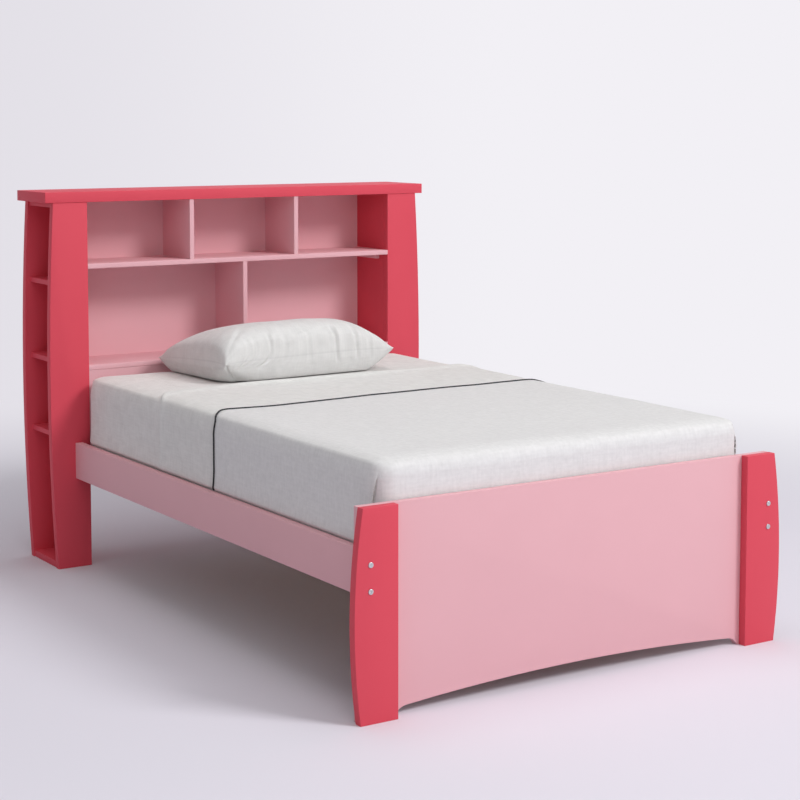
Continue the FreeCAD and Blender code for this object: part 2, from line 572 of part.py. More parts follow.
# ---- build --------------------------------------------------------------------------
def build():
    towers()
    top_plank()
    bookcase()
    rails()
    footboard()
    rail_joints()
    post_bolts()
    slatted_base()
    bedding()
    pillow()
    for group, members in dowels.items():
        shapes[group] = Part.makeCompound(members)
    for name, tools in cutters.items():
        shapes[name] = shapes[name].cut(tools)
    os.makedirs("parts", exist_ok=True)
    for name, shape in sorted(shapes.items()):
        shape.exportStep("parts/%s.step" % name)
        print("%-22s solids %3d  valid %s" % (name, len(shape.Solids), shape.isValid()))
    print("nodes", len(shapes))


build()
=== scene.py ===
# %% [markdown]
# # A bookcase headboard bed
# The bed is a painted board frame round a mattress: two open-sided shelf towers carry a plank and a
# bookcase, two rails run down to a footboard with bowed posts, and a sheet, a blanket and a pillow
# lie on top. The frame's sizes come from the CAD model, which is opened first and stays where it is.
# Everything made here is in metres, in the same place as the CAD piece that it stands for.

# %% Open the frame
import bmesh
import bpy
import math
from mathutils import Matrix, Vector, noise


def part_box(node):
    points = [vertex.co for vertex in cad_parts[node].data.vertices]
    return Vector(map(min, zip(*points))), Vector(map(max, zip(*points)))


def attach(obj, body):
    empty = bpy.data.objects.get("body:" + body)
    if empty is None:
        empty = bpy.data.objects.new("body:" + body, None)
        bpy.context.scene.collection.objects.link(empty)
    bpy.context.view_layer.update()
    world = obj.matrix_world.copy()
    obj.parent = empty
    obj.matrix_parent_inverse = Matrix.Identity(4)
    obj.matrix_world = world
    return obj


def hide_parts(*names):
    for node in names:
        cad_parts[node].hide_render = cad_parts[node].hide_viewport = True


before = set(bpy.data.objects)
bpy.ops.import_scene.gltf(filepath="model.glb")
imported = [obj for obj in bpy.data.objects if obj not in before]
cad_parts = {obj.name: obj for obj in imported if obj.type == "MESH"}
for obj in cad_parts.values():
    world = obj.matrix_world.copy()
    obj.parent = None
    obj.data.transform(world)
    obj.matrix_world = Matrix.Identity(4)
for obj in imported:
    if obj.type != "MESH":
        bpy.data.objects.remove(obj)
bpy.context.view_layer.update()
MM = 0.001

# %% [markdown]
# Operators act on whatever is selected, so each step starts by picking exactly one object.


# %% Pick one object
def pick(obj):
    bpy.ops.object.select_all(action="DESELECT")
    obj.select_set(True)
    bpy.context.view_layer.objects.active = obj


def apply_modifiers(obj):
    pick(obj)
    for modifier in list(obj.modifiers):
        bpy.ops.object.modifier_apply(modifier=modifier.name)


# %% [markdown]
# ## Colours and materials
# A paint shop writes a colour as a hex value, but a shader wants linear light, so one function
# turns the one into the other. A second function adds a shader node with its settings and links.


# %% Colour and node helpers
def linear(hex_colour):
    parts = [int(hex_colour[i : i + 2], 16) / 255 for i in (1, 3, 5)]
    return tuple(c / 12.92 if c <= 0.04045 else ((c + 0.055) / 1.055) ** 2.4 for c in parts) + (1.0,)


def add_node(tree, kind, settings=None, links=None):
    """Settings with a capital or a number are input sockets, the rest are the node's own choices."""
    new = tree.nodes.new(kind)
    for key, value in (settings or {}).items():
        if isinstance(key, int) or key in new.inputs:
            new.inputs[key].default_value = value
        else:
            setattr(new, key, value)
    for key, source in (links or {}).items():
        tree.links.new(source, new.inputs[key])
    return new


def new_material(name, shader_settings):
    material = bpy.data.materials.new(name)
    material.use_nodes = True
    tree = material.node_tree
    tree.nodes.clear()
    shader = add_node(tree, "ShaderNodeBsdfPrincipled", shader_settings)
    out = add_node(tree, "ShaderNodeOutputMaterial", links={"Surface": shader.outputs[0]})
    out.target = "ALL"
    where = add_node(tree, "ShaderNodeTexCoord").outputs["Object"]
    return material, tree, shader, where


def two_tone(tree, factor, low, high):
    """Blends two close colours by a pattern."""
    blend = add_node(tree, "ShaderNodeMix", {"data_type": "RGBA", 6: linear(low), 7: linear(high)},
                     {0: factor})
    return blend.outputs[2]


def calculate(tree, operation, *terms):
    """A sum on numbers and on other nodes' outputs, in the order of the node's sockets."""
    numbers = {i: term for i, term in enumerate(terms) if isinstance(term, (int, float))}
    outputs = {i: term for i, term in enumerate(terms) if i not in numbers}
    return add_node(tree, "ShaderNodeMath", {"operation": operation, **numbers}, outputs).outputs[0]


def relief(tree, shader, height, depth_mm):
    bump = add_node(tree, "ShaderNodeBump", {"Strength": 1.0, "Distance": depth_mm * MM},
                    {"Height": height})
    tree.links.new(bump.outputs[0], shader.inputs["Normal"])


# %% [markdown]
# The frame is fibreboard with a sprayed satin paint. Sprayed paint isn't a mirror and isn't chalk:
# it has a fine orange peel a few millimetres across, which breaks up the gloss, and the coat is a
# shade deeper in some places than in others. Both are noise, at those two sizes.


# %% Sprayed satin paint
def satin_paint(name, low, high, roughness):
    material, tree, shader, where = new_material(
        name, {"Roughness": roughness, "IOR": 1.46, "Specular IOR Level": 0.25})
    coat = add_node(tree, "ShaderNodeTexNoise", {"Scale": 1 / (160 * MM), "Detail": 3.0}, {"Vector": where})
    tree.links.new(two_tone(tree, coat.outputs[0], low, high), shader.inputs["Base Color"])
    peel = add_node(tree, "ShaderNodeTexNoise", {"Scale": 1 / (3.5 * MM), "Detail": 1.0}, {"Vector": where})
    relief(tree, shader, peel.outputs[0], 0.05)
    return material


red_paint = satin_paint("red_satin_paint", "#D74A5A", "#D94E5D", 0.55)
pink_paint = satin_paint("pink_satin_paint", "#E1AEB5", "#E4B1B8", 0.55)

# %% [markdown]
# The slats, ledges, beam and legs can be seen only from below or through a gap. They are planed
# pine: long, narrow grain along the board, which is noise stretched along its length.


# %% Planed pine
def planed_wood(name, low, high, along):
    material, tree, shader, where = new_material(name, {"Roughness": 0.62, "IOR": 1.5})
    squeeze = [1 / (9 * MM)] * 3
    squeeze[along] = 1 / (260 * MM)
    grain_place = add_node(tree, "ShaderNodeMapping", {"Scale": squeeze}, {"Vector": where})
    grain = add_node(tree, "ShaderNodeTexNoise",
                     {"Scale": 1.0, "Detail": 6.0, "Roughness": 0.6, "Distortion": 0.8},
                     {"Vector": grain_place.outputs[0]})
    tree.links.new(two_tone(tree, grain.outputs[0], low, high), shader.inputs["Base Color"])
    relief(tree, shader, grain.outputs[0], 0.12)
    return material


pine_across = planed_wood("planed_pine_across", "#B58A5C", "#E4C79B", 0)
pine_along = planed_wood("planed_pine_along", "#B58A5C", "#E4C79B", 1)
pine_upright = planed_wood("planed_pine_upright", "#B58A5C", "#E4C79B", 2)
beech = planed_wood("beech", "#B98C63", "#D9B48A", 2)


# %% [markdown]
# Bolts, nuts and screws are zinc-plated steel: a bright metal with a slightly cloudy surface.


# %% Zinc-plated steel
def zinc_plate():
    material, tree, shader, where = new_material("zinc_plated_steel", {"Metallic": 1.0})
    cloud = add_node(tree, "ShaderNodeTexNoise", {"Scale": 1 / (6 * MM), "Detail": 4.0}, {"Vector": where})
    tree.links.new(two_tone(tree, cloud.outputs[0], "#B9BABD", "#DCDDE0"), shader.inputs["Base Color"])
    rough = add_node(tree, "ShaderNodeMapRange", {"To Min": 0.22, "To Max": 0.42},
                     {"Value": cloud.outputs[0]})
    tree.links.new(rough.outputs[0], shader.inputs["Roughness"])
    relief(tree, shader, cloud.outputs[0], 0.02)
    return material


zinc = zinc_plate()

# %% [markdown]
# The bedding is cotton. A plain weave has threads every half millimetre, too fine to show, so the
# threads here are drawn two to three millimetres apart. Slubs, the thicker stretches of a thread,
# make short light and dark dashes both ways, and a brushed blanket is mottled as well.
# Cloth has no hard gloss: its nap catches light that grazes it, which the sheen setting gives.


# %% Woven cotton
WAVE_LENGTH = 0.314                          # of a wave texture at scale 1


def cotton(name, low, high, thread_mm, mottle_mm, sheen, rows=()):
    material, tree, shader, where = new_material(
        name, {"Roughness": 0.92, "IOR": 1.35, "Sheen Weight": sheen, "Sheen Roughness": 0.5})
    cloth_place = add_node(tree, "ShaderNodeUVMap", {"uv_map": "threads"}).outputs[0]
    wide, long = 1 / (3 * thread_mm * MM), 1 / (26 * thread_mm * MM)      # a slub, 3 by 26 threads
    slubs, threads = [], []
    for squeeze in ((wide, long, 1), (long, wide, 1)):
        run = add_node(tree, "ShaderNodeMapping", {"Scale": squeeze}, {"Vector": cloth_place})
        slub = add_node(tree, "ShaderNodeTexNoise", {"Scale": 1.0, "Detail": 2.0}, {"Vector": run.outputs[0]})
        slubs.append(slub.outputs[0])
    for direction in ("X", "Y"):
        wave = add_node(tree, "ShaderNodeTexWave",
                        {"bands_direction": direction, "Scale": WAVE_LENGTH / (thread_mm * MM),
                         "Distortion": 1.5, "Detail": 1.0},
                        {"Vector": cloth_place})
        threads.append(wave.outputs[1])
    mottle = add_node(tree, "ShaderNodeTexNoise",
                      {"Scale": 1 / (mottle_mm * MM), "Detail": 5.0, "Roughness": 0.62}, {"Vector": where})
    dashes = calculate(tree, "ADD", slubs[0], slubs[1])
    tone = calculate(tree, "MULTIPLY_ADD", dashes, 0.6, mottle.outputs[0])
    spread = add_node(tree, "ShaderNodeMapRange", {"From Min": 0.75, "From Max": 1.45}, {"Value": tone})
    colour = two_tone(tree, spread.outputs[0], low, high)
    weave = calculate(tree, "ADD", threads[0], threads[1])
    height = calculate(tree, "MULTIPLY_ADD", dashes, 1.4, weave)
    if rows:
        colour, height = stitched(tree, colour, height, rows)
    tree.links.new(colour, shader.inputs["Base Color"])
    relief(tree, shader, height, 0.16)
    return material


# %% [markdown]
# A row of stitches is a thin line sunk into the cloth and drawn a little darker, as painted shade in the
# sunk row. How far a point is from the cloth's edge is stored on it as from_edge, so a row follows the edge
# round a corner. The top sheet's turned-down end has a hem with two rows, and the pillowcase has its seam.


# %% Rows of stitches
# painted shade for the inside of a sunk row, and how deep the row sinks
ROW_PAINTED_SHADE, SUNK = "#A9A7A8", -6.0


def stitched(tree, colour, height, rows):
    distance = add_node(tree, "ShaderNodeAttribute", {"attribute_name": "from_edge"}).outputs["Fac"]
    for row_mm, width_mm, strength in rows:
        off = calculate(tree, "ABSOLUTE", calculate(tree, "SUBTRACT", distance, row_mm * MM))
        on = add_node(tree, "ShaderNodeMapRange",
                      {"From Min": 0.0, "From Max": width_mm * MM, "To Min": strength, "To Max": 0.0},
                      {"Value": off}).outputs[0]
        # Painted shade: the row's colour is darkened towards the grey, and the bump below also sinks it.
        shade = add_node(tree, "ShaderNodeMix", {"data_type": "RGBA", 7: linear(ROW_PAINTED_SHADE)},
                         {0: on, 6: colour})
        colour = shade.outputs[2]
        height = calculate(tree, "MULTIPLY_ADD", on, SUNK, height)
    return colour, height


fitted_cotton = cotton("percale_fitted_sheet", "#D8D6D4", "#E9E8E6", 2.2, 40, 0.12)
# each row: mm from the edge, mm wide, and how strong its painted shade is
sheet_cotton = cotton("percale_top_sheet", "#D7D6D4", "#E8E7E5", 2.2, 30, 0.12,
                      [(19, 1.8, 0.4), (25, 1.8, 0.4)])
blanket_cotton = cotton("brushed_cotton_blanket", "#D8D7D7", "#E6E5E5", 2.8, 14, 0.1)
pillow_cotton = cotton("percale_pillowcase", "#D5D4D3", "#E3E2E1", 2.0, 40, 0.12, [(0, 1.1, 0.18)])
ticking = cotton("mattress_ticking", "#D8D4CC", "#E8E5DE", 2.6, 60, 0.1)
piping_cotton = cotton("charcoal_piping", "#303033", "#404043", 1.6, 12, 0.1)

# %% [markdown]
# ## The painted boards
# A real board never has a knife edge. Its corners are sanded before painting, and that narrow round
# edge is what catches the light. So each board is made again over its CAD node: a cube as large as
# the node, whose edges are bevelled where both faces that meet there are open to the air. Where a
# board butts against another its edge stays sharp, so that the joint is tight.

# %% Eased boards
EASE = 1.2 * MM
SIDES = {"+x": (1, 0, 0), "-x": (-1, 0, 0), "+y": (0, 1, 0), "-y": (0, -1, 0),
         "+z": (0, 0, 1), "-z": (0, 0, -1)}


def board(name, low, high, open_sides, ease=EASE):
    low, high = Vector(low), Vector(high)
    bpy.ops.object.select_all(action="DESELECT")
    bpy.ops.mesh.primitive_cube_add(size=1, location=(low + high) / 2, scale=high - low)
    obj = bpy.context.object
    obj.name = obj.data.name = name
    bpy.ops.object.transform_apply(location=True, rotation=True, scale=True)
    open_normals = [Vector(SIDES[side]) for side in open_sides.split()]
    bpy.ops.object.mode_set(mode="EDIT")
    bpy.ops.mesh.select_mode(type="EDGE")
    bpy.ops.mesh.select_all(action="DESELECT")
    mesh = bmesh.from_edit_mesh(obj.data)
    for edge in mesh.edges:
        edge.select = all(any(f.normal.dot(n) > 0.9 for n in open_normals) for f in edge.link_faces)
    bmesh.update_edit_mesh(obj.data)
    bpy.ops.mesh.bevel(offset=ease, segments=3, affect="EDGES")
    bpy.ops.object.mode_set(mode="OBJECT")
    return obj


def dress(obj, material, slot, *nodes):
    """Gives a finished piece its material, hangs it under the root, and hides the CAD nodes it stands for."""
    obj.data.materials.clear()
    obj.data.materials.append(material)
    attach(obj, "root")
    if nodes:
        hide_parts(*nodes)
    return obj


def node_board(node, open_sides, material, slot):
    low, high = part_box(node)
    obj = board("board_" + node, low, high, open_sides)
    pick(obj)
    bpy.ops.object.shade_smooth_by_angle(angle=math.radians(40))
    return dress(obj, material, slot, node)


pink_boards = {
    "long_shelf": "-y +z -z", "bottom_shelf": "-y +z -z", "lower_divider": "-y +x -x",
    "upper_divider_left": "-y +x -x", "upper_divider_right": "-y +x -x",
    "lower_panel": "-y +y -z", "bookcase_back": "+y -z",
    "side_rail_left": "+x -x +z -z", "side_rail_right": "+x -x +z -z",
}
for node, open_sides in pink_boards.items():
    node_board(node, open_sides, pink_paint, "pink_painted_board")

red_boards = {"top_plank": "+x -x +y -y +z -z"}
for side, outer in (("left", "-x"), ("right", "+x")):
    red_boards["tower_side_" + side] = "+x -x"
    for level in ("top", "base", "shelf_1", "shelf_2", "shelf_3"):
        red_boards["tower_%s_%s" % (level, side)] = outer + " +z -z"
for node, open_sides in red_boards.items():
    node_board(node, open_sides, red_paint, "red_painted_board")
print(len(pink_boards) + len(red_boards), "straight boards")

# %% [markdown]
# The towers' front and back panels and the footboard's posts have a bowed outer edge, and the
# footboard has an arch at its foot. Their outline is read from the CAD node's front face: its
# outermost loop of edges, in order. That outline is filled, extruded to the board's thickness, and
# its two rims are bevelled, as a router would ease a cut panel.


# %% Boards cut to an outline
def front_outline(node):
    """The outer loop of the node's front face, as points in order."""
    low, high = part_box(node)
    mesh = bmesh.new()
    mesh.from_mesh(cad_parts[node].data)
    bmesh.ops.remove_doubles(mesh, verts=mesh.verts, dist=0.01 * MM)
    front = {f for f in mesh.faces if all(abs(v.co.y - low.y) < 0.01 * MM for v in f.verts)}
    rim = {}
    for face in front:
        for loop in face.loops:
            if sum(f in front for f in loop.edge.link_faces) == 1:
                rim[loop.vert.index] = (loop.link_loop_next.vert.index, loop.vert.co.copy())
    loops = []
    while rim:
        start = here = next(iter(rim))
        points = []
        while here in rim:
            following, place = rim.pop(here)
            points.append(place)
            here = following
        loops.append(points)
    mesh.free()
    return max(loops, key=lambda ps: max(p.z for p in ps) - min(p.z for p in ps)), high.y - low.y


def cut_board(node, material, slot):
    points, thickness = front_outline(node)
    data = bpy.data.meshes.new("board_" + node)
    data.from_pydata(points, [], [range(len(points))])
    obj = bpy.data.objects.new("board_" + node, data)
    bpy.context.collection.objects.link(obj)
    pick(obj)
    bpy.ops.object.mode_set(mode="EDIT")
    bpy.ops.mesh.select_all(action="SELECT")
    bpy.ops.mesh.extrude_region_move(TRANSFORM_OT_translate={"value": (0, thickness, 0)})
    bpy.ops.mesh.select_all(action="SELECT")
    bpy.ops.mesh.normals_make_consistent(inside=False)
    bpy.ops.mesh.select_mode(type="EDGE")
    bpy.ops.mesh.select_all(action="DESELECT")
    mesh = bmesh.from_edit_mesh(obj.data)
    for edge in mesh.edges:
        edge.select = any(abs(f.normal.y) > 0.9 for f in edge.link_faces)
    bmesh.update_edit_mesh(obj.data)
    bpy.ops.mesh.bevel(offset=EASE, segments=3, affect="EDGES", clamp_overlap=False)
    bpy.ops.object.mode_set(mode="OBJECT")
    bpy.ops.object.shade_smooth_by_angle(angle=math.radians(35))
    return dress(obj, material, slot, node)


for side in ("left", "right"):
    for part in ("tower_front_", "tower_back_", "footboard_post_"):
        cut_board(part + side, red_paint, "red_painted_board")
panel = cut_board("footboard_panel", pink_paint, "pink_painted_board")
print("footboard panel", len(panel.data.vertices), "points")

# %% [markdown]
# A node that holds several alike pieces, such as the slats, gives one box for each of them.


# %% One box for each solid of a node
def solid_boxes(node):
    mesh = bmesh.new()
    mesh.from_mesh(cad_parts[node].data)
    bmesh.ops.remove_doubles(mesh, verts=mesh.verts, dist=0.01 * MM)
    left, boxes = set(mesh.verts), []
    while left:
        reach = [left.pop()]
        places = []
        while reach:
            vert = reach.pop()
            places.append(vert.co.copy())
            for edge in vert.link_edges:
                other = edge.other_vert(vert)
                if other in left:
                    left.remove(other)
                    reach.append(other)
        boxes.append([Vector([f(p[i] for p in places) for i in range(3)]) for f in (min, max)])
    mesh.free()
    return boxes


def board_group(node, open_sides, material, slot):
    pieces = [board("part", low, high, open_sides) for low, high in solid_boxes(node)]
    pick(pieces[0])
    for piece in pieces:
        piece.select_set(True)
    if len(pieces) > 1:
        bpy.ops.object.join()
    obj = bpy.context.object
    obj.name = obj.data.name = "boards_" + node
    bpy.ops.object.shade_smooth_by_angle(angle=math.radians(40))
    return dress(obj, material, slot, node)


board_group("shelf_cleats", "-y +x -x -z", pink_paint, "pink_painted_board")
board_group("slats", "+y -y +z -z", pine_across, "plain_pine")
board_group("beam_legs", "+x -x +y -y", pine_upright, "plain_pine")
board_group("middle_beam", "+x -x -z", pine_along, "plain_pine")
for side in ("left", "right"):
    board_group("slat_ledge_" + side, "+x -x +z -z", pine_along, "plain_pine")

# %% [markdown]
# The fasteners stay as the CAD has them, with a metal or wood finish in place of the plain one.

# %% Finish the fasteners
FASTENERS = {
    zinc: ("post_bolts", "rail_bolts_foot", "rail_bolts_head", "barrel_nuts", "sleeve_nuts",
           "slat_screws", "ledge_screws", "beam_hangers"),
    beech: ("tower_dowels", "bookcase_dowels", "leg_dowels"),
}
for material, nodes in FASTENERS.items():
    for node in nodes:
        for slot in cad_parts[node].material_slots:
            slot.material = material

# %% [markdown]
# ## The mattress and what is tucked round it
# A made bed is several layers of cloth over one soft form, so that form is made once, as a rule: a
# box with well-rounded edges that crowns a little and isn't quite even. Each layer follows it at
# its own height. The form starts as a finely divided cube whose points are moved onto it.

# Across its edge the form has a nearly upright side, a quick turn to a slope, and a border that
# stands a few millimetres above the middle. So its top is a height above each point of the plan,
# read from how far that point is inside the outline, and its sides are upright walls with round
# corners. The edge at the foot end is softer than the long ones.

# %% The form of the mattress
MATTRESS_LOW, MATTRESS_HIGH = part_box("mattress")
CORNER_R = 60 * MM
HALF_W, HALF_L = MATTRESS_HIGH.x, (MATTRESS_HIGH.y - MATTRESS_LOW.y) / 2
MID_Y = (MATTRESS_HIGH.y + MATTRESS_LOW.y) / 2
CROWN = MATTRESS_HIGH.z
RAIL_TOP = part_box("side_rail_left")[1].z
RAIL_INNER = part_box("side_rail_right")[0].x
# how far inside the outline, and how far below the crown there, in mm
SECTION = ((0, 66), (1, 53), (3, 40), (6, 27.5), (9, 17), (12, 10.4), (15, 8), (20, 5.9), (26, 3.7),
           (34, 1.2), (44, -1.2), (56, -2.7), (72, -3.4), (110, -3.2), (200, -1.1), (300, 0))
FOOT_SECTION = ((0, 44), (1, 37), (3, 28.5), (6, 21), (10, 14.5), (15, 10), (21, 7), (28, 4.4), (37, 2),
                (48, -0.4), (62, -2.2), (80, -3.3), (110, -3.2), (200, -1.1), (300, 0))
UPRIGHT = 60 * MM                            # below this much from the crown the side is a wall
# The side swells a little over the rail, and is drawn in where it goes down behind it.
RAIL_BULGE, TUCK = 3.5 * MM, 4.5 * MM
BULGE_LOW, BULGE_HIGH, TUCK_HIGH = 12 * MM, 80 * MM, 14 * MM
# The blanket's side ends in a free edge at each foot corner, and the form is sunk behind that edge.
FLAP_TOP = Vector((674 * MM, -1098 * MM, 668 * MM))
FLAP_LOW = Vector((680 * MM, -1091 * MM, 596 * MM))
GROOVE, GROOVE_WIDTH = 7 * MM, 5 * MM
# Which cloth near a foot corner is divided finer, may be cut, and moves: |x| over, and y under.
DIVIDED, CUTTABLE, MOVED = (0.63, -1.05), (0.60, -1.03), (0.58, -1.0)
print("mattress", [round(v, 3) for v in MATTRESS_LOW], [round(v, 3) for v in MATTRESS_HIGH])


def level_on(section, inside):
    """Reads a section between its points."""
    for (xa, ya), (xb, yb) in zip(section, section[1:]):
        if inside < xb:
            return ya + (yb - ya) * max(0, inside - xa) / (xb - xa)
    return 0.0


def drop_at(inside, foot):
    """How far below the crown: foot is 0 on the long sides and 1 at the foot end."""
    inside = inside / MM
    return ((1 - foot) * level_on(SECTION, inside) + foot * level_on(FOOT_SECTION, inside)) * MM


def unevenness(place):
    """Slow rises and falls in the filling, in metres."""
    slow = noise.noise(Vector((place.x * 2.2, place.y * 1.7, place.z * 2.0)) + Vector((3.1, 8.4, 0.7)))
    quick = noise.noise(Vector((place.x * 9.0, place.y * 7.0, place.z * 9.0)))
    return 2.4 * MM * slow + 0.7 * MM * quick


def corner_groove(at):
    """How the form moves in behind the blanket's free edge, more so further down."""
    down = (FLAP_TOP.z - at.z) / (FLAP_TOP.z - FLAP_LOW.z)
    if down <= 0 or at.y > MOVED[1]:
        return Vector()
    line = FLAP_TOP.lerp(FLAP_LOW, min(1, down))
    off = math.hypot(abs(at.x) - line.x, at.y - line.y)
    depth = GROOVE * min(1, down / 0.6) ** 0.7 * math.exp(-((off / GROOVE_WIDTH) ** 2))
    return Vector((math.copysign(-0.8, at.x), 0.6, 0)) * depth


def widest(z):
    """How far from the middle cloth may lie: just inside the rails below their top, freely above."""
    return RAIL_INNER - 0.4 * MM + 3 * max(0, z - RAIL_TOP - 0.6 * MM)


def on_form(place, grow):
    """Moves a point of a plain box, from -1 to 1 each way, onto the mattress's rounded form."""
    half = Vector((HALF_W + grow, HALF_L + grow))
    radius = CORNER_R + grow
    plan = Vector((place.x * half.x, place.y * half.y))
    inner = Vector([max(-h + radius, min(h - radius, v)) for h, v in zip(half, plan)])
    out = plan - inner
    inside = min(half.x - abs(plan.x), half.y - abs(plan.y))
    foot = 1.0 if half.y + plan.y < half.x - abs(plan.x) else 0.0
    if out.length > 0:
        foot = max(0, -out.y) ** 2 / out.length_squared
        out = out.normalized() * max(abs(out.x), abs(out.y))      # square rings become round ones
        plan = inner + out
        inside = radius - out.length
    top = CROWN + grow
    wall = top - drop_at(0, foot)
    if place.z > 0.9999:                     # the box's top face
        z = top - drop_at(inside, foot)
    else:
        z = MATTRESS_LOW.z + (place.z + 1) / 2 * (wall - MATTRESS_LOW.z)
    at = Vector((plan.x, plan.y + MID_Y, z))
    if z > RAIL_TOP:
        swell = (unevenness(at) - 1.6 * MM) * min(1, (z - RAIL_TOP) / UPRIGHT)
        upright = min(1, (top - z) / UPRIGHT)
        edge = Vector((plan.x / half.x, plan.y / half.y, 0))
        edge = Vector((edge.x ** 9, edge.y ** 9, 0))
        if edge.length > 0:
            at += edge.normalized() * swell * upright
        at.z += swell * (1 - upright)
    at += corner_groove(at)
    over = at.z - RAIL_TOP
    moved = -TUCK * min(1, max(0, 1 - over / TUCK_HIGH)) ** 2
    if 0 < over < BULGE_LOW:
        moved += RAIL_BULGE * (1 - (1 - over / BULGE_LOW) ** 2)
    elif BULGE_LOW <= over < BULGE_HIGH:
        moved += RAIL_BULGE * (1 - (over - BULGE_LOW) / (BULGE_HIGH - BULGE_LOW)) ** 2
    at.x += math.copysign(1, at.x) * moved * min(1, abs(plan.x / half.x)) ** 20
    at.x = max(-widest(at.z), min(widest(at.z), at.x))
    return at


def spaced(t):
    """Crowds the divisions towards the edges, where the form turns."""
    return math.copysign(1 - (1 - abs(t)) ** 1.5, t)


def soft_box(name, cuts, grow):
    bpy.ops.object.select_all(action="DESELECT")
    bpy.ops.mesh.primitive_cube_add(size=2)
    obj = bpy.context.object
    obj.name = obj.data.name = name
    bpy.ops.object.mode_set(mode="EDIT")
    bpy.ops.mesh.subdivide(number_cuts=cuts)
    bpy.ops.object.mode_set(mode="OBJECT")
    for vert in obj.data.vertices:
        vert.co = on_form(Vector([spaced(v) for v in vert.co]), grow)
    return obj


def thread_map(obj):
    """Lays a map on the cloth, one unit to the metre, so that its threads keep their size."""
    pick(obj)
    while obj.data.uv_layers:
        obj.data.uv_layers.remove(obj.data.uv_layers[0])
    obj.data.uv_layers.new(name="threads")
    bpy.ops.object.mode_set(mode="EDIT")
    bpy.ops.mesh.select_all(action="SELECT")
    bpy.ops.uv.cube_project(cube_size=1.0)
    bpy.ops.object.mode_set(mode="OBJECT")


def smooth(obj):
    pick(obj)
    bpy.ops.object.shade_smooth()


mattress = soft_box("mattress_body", 60, 0.0)
thread_map(mattress)
smooth(mattress)
dress(mattress, ticking, "mattress_ticking", "mattress")

# %% [markdown]
# A layer of cloth is the same form at its own height, cut off at its hem and at its head edge. The
# head edges aren't straight: the cloth creeps towards the foot at the sides and towards the head in
# the middle, so the cut edge and the cloth near it are slid along the bed by that much.

# At the two foot corners the blanket's side hangs straight past the rounded corner and ends in a free
# edge, and the foot part comes out from behind it. So the cloth is cut along that edge, and the side's
# edge is lifted away from the corner below the top of the cut.

# %% The blanket's foot corners
LIFT, SINK = 9 * MM, 1.2 * MM                # of the side's free edge, and of the foot part beside it
LIFT_REACH, SINK_REACH = 55 * MM, 30 * MM    # how far from the cut each fades out
OPENING = 45 * MM                            # how far below the top of the cut it is fully open


def near_corner(place, side, zone):
    return place.x * side > zone[0] and place.y < zone[1]


def corner_flap(obj, side):
    """Cuts the blanket along the flap's line at one foot corner, and lifts the side's edge."""
    top, low = [Vector((side * at.x, at.y, at.z)) for at in (FLAP_TOP, FLAP_LOW)]
    down = (low - top).normalized()
    on_line = 0.05 * MM
    outwards = Vector((side * 0.8, -0.6, 0))
    across = down.cross(outwards).normalized()
    if across.y > 0:
        across.negate()                      # points round the corner to the foot
    pick(obj)
    bpy.ops.object.mode_set(mode="EDIT")
    bpy.ops.mesh.select_mode(type="FACE")
    bpy.ops.mesh.select_all(action="DESELECT")
    mesh = bmesh.from_edit_mesh(obj.data)
    for face in mesh.faces:
        at = face.calc_center_median()
        face.select = near_corner(at, side, DIVIDED) and RAIL_TOP - 4 * MM < at.z < top.z + 4 * MM
    bmesh.update_edit_mesh(obj.data)
    bpy.ops.mesh.subdivide(number_cuts=2)
    bpy.ops.mesh.bisect(plane_co=top, plane_no=across)
    bpy.ops.mesh.select_mode(type="EDGE")
    bpy.ops.mesh.select_all(action="DESELECT")
    mesh = bmesh.from_edit_mesh(obj.data)
    for edge in mesh.edges:
        edge.select = all(abs((vert.co - top).dot(across)) < on_line and vert.co.z < top.z
                          and near_corner(vert.co, side, CUTTABLE) for vert in edge.verts)
    cut_edges = [edge for edge in mesh.edges if edge.select]
    bmesh.ops.split_edges(mesh, edges=cut_edges)
    for vert in mesh.verts:
        at = vert.co - top
        if at.z >= 0 or not near_corner(vert.co, side, MOVED):
            continue
        ahead = at.dot(across)
        opened = min(1, -at.z / OPENING) ** 0.7
        on_foot = ahead > on_line
        if abs(ahead) <= on_line:
            on_foot = any((face.calc_center_median() - top).dot(across) > 0 for face in vert.link_faces)
        if on_foot:
            vert.co -= outwards * SINK * opened * max(0, 1 - ahead / SINK_REACH) ** 2
        else:
            vert.co += Vector((side, -0.15, 0)) * LIFT * opened * max(0, 1 + ahead / LIFT_REACH) ** 2
            vert.co.x = side * min(abs(vert.co.x), widest(vert.co.z))
    bmesh.update_edit_mesh(obj.data)
    bpy.ops.object.mode_set(mode="OBJECT")
    print("corner flap", side, len(cut_edges), "edges cut")


# %% Layers of cloth
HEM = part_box("top_sheet")[0].z
SHOULDER = 20 * MM                           # how far down the side a head edge starts to turn
SLIDE_REACH = 0.35                           # how far from its edge the cloth slides with it


def head_edge(points, place):
    """Where a head edge lies along the bed: level on the side, then from point to point over the top."""
    side_y, over_top = points
    end_x, end_y = over_top[0] if place.x < 0 else over_top[-1]
    t = (HALF_W - abs(place.x) - (CROWN - place.z) + SHOULDER) / (HALF_W - abs(end_x) + SHOULDER)
    if abs(place.x) >= abs(end_x) or t < 0:
        t = max(0, min(1, t))
        return side_y + (end_y - side_y) * t * t * (3 - 2 * t)
    for (xa, ya), (xb, yb) in zip(over_top, over_top[1:]):
        if xa <= place.x <= xb:
            t = (place.x - xa) / (xb - xa)
            return ya + (yb - ya) * t * t * (3 - 2 * t)
    return side_y


